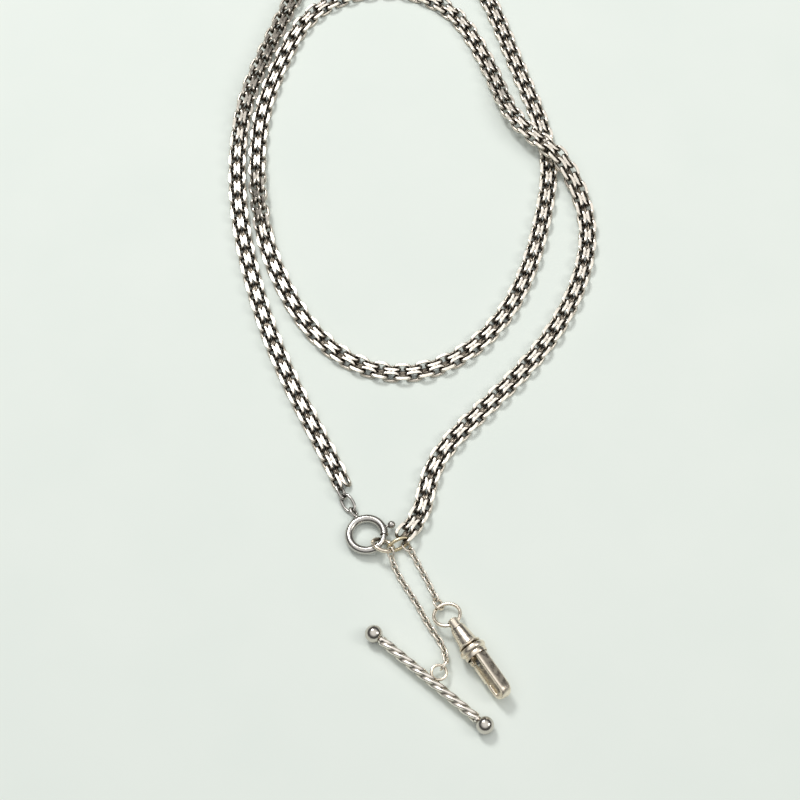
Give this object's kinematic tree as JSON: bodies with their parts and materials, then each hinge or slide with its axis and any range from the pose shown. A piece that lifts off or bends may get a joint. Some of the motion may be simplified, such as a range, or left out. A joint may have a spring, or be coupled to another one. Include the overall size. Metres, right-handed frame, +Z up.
{
  "type": "pocket watch chain",
  "caption": "Long double-looped guard chain laid out in loops, closed by a bolt ring, with a twisted T-bar and a swivelling dog clip on fine drop chains.",
  "frame": {"origin": "on the table, under the middle of the laid-out chain's box", "axes": "+Z up from the table, +Y from the fittings towards the far end of the loops, +X to the right"},
  "size_m": [0.0866, 0.2088, 0.0059],
  "materials": {
    "silver": "polished with dark tarnish in the hollows",
    "ring_silver": "polished silver, a little cooler",
    "clip_silver": "warm pale silver, satin",
    "bar_silver": "polished silver",
    "gold_ring": "worn gold tone",
    "spring_steel": "plain spring wire"
  },
  "bodies": {
    "chain": {"bolt_leg_low": "silver", "bolt_leg_high": "silver", "left_outer": "silver", "left_rolled": "silver", "right_upper": "silver", "right_under": "silver", "left_kink": "silver", "left_inner": "silver", "right_descent": "silver", "crossing": "silver", "right_outer_high": "silver", "right_outer_low": "silver", "watch_leg": "silver", "end_single_link": "silver"},
    "far_arc": {"far_outer_left": "silver", "far_outer_right": "silver"},
    "near_arc": {"loop_right": "silver", "loop_left": "silver"},
    "inner_arc": {"far_inner": "silver"},
    "jump_ring": {"oval_jump_ring": "ring_silver"},
    "bolt_ring": {"bolt_ring_tube": "ring_silver", "bolt_ring_eye": "ring_silver", "bolt_spring": "spring_steel", "spring_stop": "ring_silver"},
    "bolt": {"bolt": "ring_silver", "thumb_knob": "ring_silver"},
    "joining_ring": {"joining_ring": "gold_ring"},
    "catch_ring": {"catch_ring": "clip_silver"},
    "bar_drop_top": {"bar_drop_top_link": "silver", "bar_drop_upper": "silver"},
    "bar_drop_end": {"bar_drop_lower": "silver", "bar_drop_end_link": "silver"},
    "t_bar": {"bar_rod": "bar_silver", "ball_near_clip": "bar_silver", "ball_far": "bar_silver", "bar_ring": "bar_silver"},
    "clip_drop": {"clip_drop_top_link": "silver", "clip_drop": "silver"},
    "clip_small_ring": {"clip_small_ring": "clip_silver"},
    "clip_big_ring": {"clip_big_ring": "clip_silver"},
    "swivel_stem": {"swivel_stem": "clip_silver", "swivel_rivet_head": "clip_silver"},
    "clip": {"clip_bell": "clip_silver", "clip_hook": "clip_silver", "gate_pin": "clip_silver", "gate_spring": "spring_steel"},
    "gate": {"clip_gate": "clip_silver"}
  },
  "joints": [
    {"name": "far_arc_lift", "type": "hinge", "parent": "chain", "child": "far_arc", "pos_m": [-0.00196, 0.08125, 0.00147], "axis": [0.9631, -0.2684, -0.0202], "range_deg": [0, 4]},
    {"name": "near_arc_lift", "type": "hinge", "parent": "chain", "child": "near_arc", "pos_m": [-0.00128, -0.00186, 0.00095], "axis": [-0.9989, -0.0473, 0.0001], "range_deg": [0, 4]},
    {"name": "inner_arc_lift", "type": "hinge", "parent": "chain", "child": "inner_arc", "pos_m": [-0.00824, 0.07631, 0.00095], "axis": [0.9929, 0.1188, 0], "range_deg": [0, 4]},
    {"name": "jump_ring_turn", "type": "hinge", "parent": "chain", "child": "jump_ring", "pos_m": [-0.01445, -0.05245, 0.0012], "axis": [0, 0, 1], "range_deg": [0, 2]},
    {"name": "bolt_ring_turn", "type": "hinge", "parent": "jump_ring", "child": "bolt_ring", "pos_m": [-0.01263, -0.05534, 0.00095], "axis": [0, 0, 1], "range_deg": [0, 2]},
    {"name": "bolt_slide", "type": "hinge", "parent": "bolt_ring", "child": "bolt", "pos_m": [-0.00955, -0.06115, 0.0015], "axis": [-0.0616, 0.0616, 0.9962], "range_deg": [0, 38], "stiffness_Nm_per_rad": 0.002, "springref_deg": -22.92},
    {"name": "joining_ring_turn", "type": "hinge", "parent": "chain", "child": "joining_ring", "pos_m": [-0.00165, -0.06215, 0.0016], "axis": [0, 0, 1], "range_deg": [-2, 0]},
    {"name": "catch_ring_turn", "type": "hinge", "parent": "joining_ring", "child": "catch_ring", "pos_m": [-0.00445, -0.06365, 0.0017], "axis": [0, 0, 1], "range_deg": [-2, 0]},
    {"name": "bar_drop_swing", "type": "hinge", "parent": "catch_ring", "child": "bar_drop_top", "pos_m": [-0.00455, -0.06465, 0.0024], "axis": [0, 0, 1], "range_deg": [-8, 0]},
    {"name": "bar_drop_bend", "type": "hinge", "parent": "bar_drop_top", "child": "bar_drop_end", "pos_m": [0.00142, -0.07708, 0.00068], "axis": [0, 0, 1], "range_deg": [-5, 5]},
    {"name": "t_bar_turn", "type": "hinge", "parent": "bar_drop_end", "child": "t_bar", "pos_m": [0.00605, -0.09035, 0.00185], "axis": [0, 0, 1], "range_deg": [-10, 10]},
    {"name": "clip_drop_swing", "type": "hinge", "parent": "joining_ring", "child": "clip_drop", "pos_m": [-0.00165, -0.06305, 0.0011], "axis": [0, 0, 1], "range_deg": [0, 8]},
    {"name": "small_ring_turn", "type": "hinge", "parent": "clip_drop", "child": "clip_small_ring", "pos_m": [0.00535, -0.07595, 0.001], "axis": [0, 0, 1], "range_deg": [-5, 5]},
    {"name": "big_ring_turn", "type": "hinge", "parent": "clip_small_ring", "child": "clip_big_ring", "pos_m": [0.00585, -0.07705, 0.0011], "axis": [0, 0, 1], "range_deg": [-5, 5]},
    {"name": "stem_lift", "type": "hinge", "parent": "clip_big_ring", "child": "swivel_stem", "pos_m": [0.00867, -0.08136, 0.00295], "axis": [-0.8339, -0.5519, 0], "range_deg": [0, 25]},
    {"name": "clip_swivel", "type": "hinge", "parent": "swivel_stem", "child": "clip", "pos_m": [0.01096, -0.08482, 0.00295], "axis": [0.5519, -0.8339, 0], "continuous": true},
    {"name": "gate_swing", "type": "hinge", "parent": "clip", "child": "gate", "pos_m": [0.01328, -0.0894, 0.00168], "axis": [-0.7558, -0.5002, 0.4226], "range_deg": [0, 18], "stiffness_Nm_per_rad": 0.001, "springref_deg": -28.65}
  ]
}
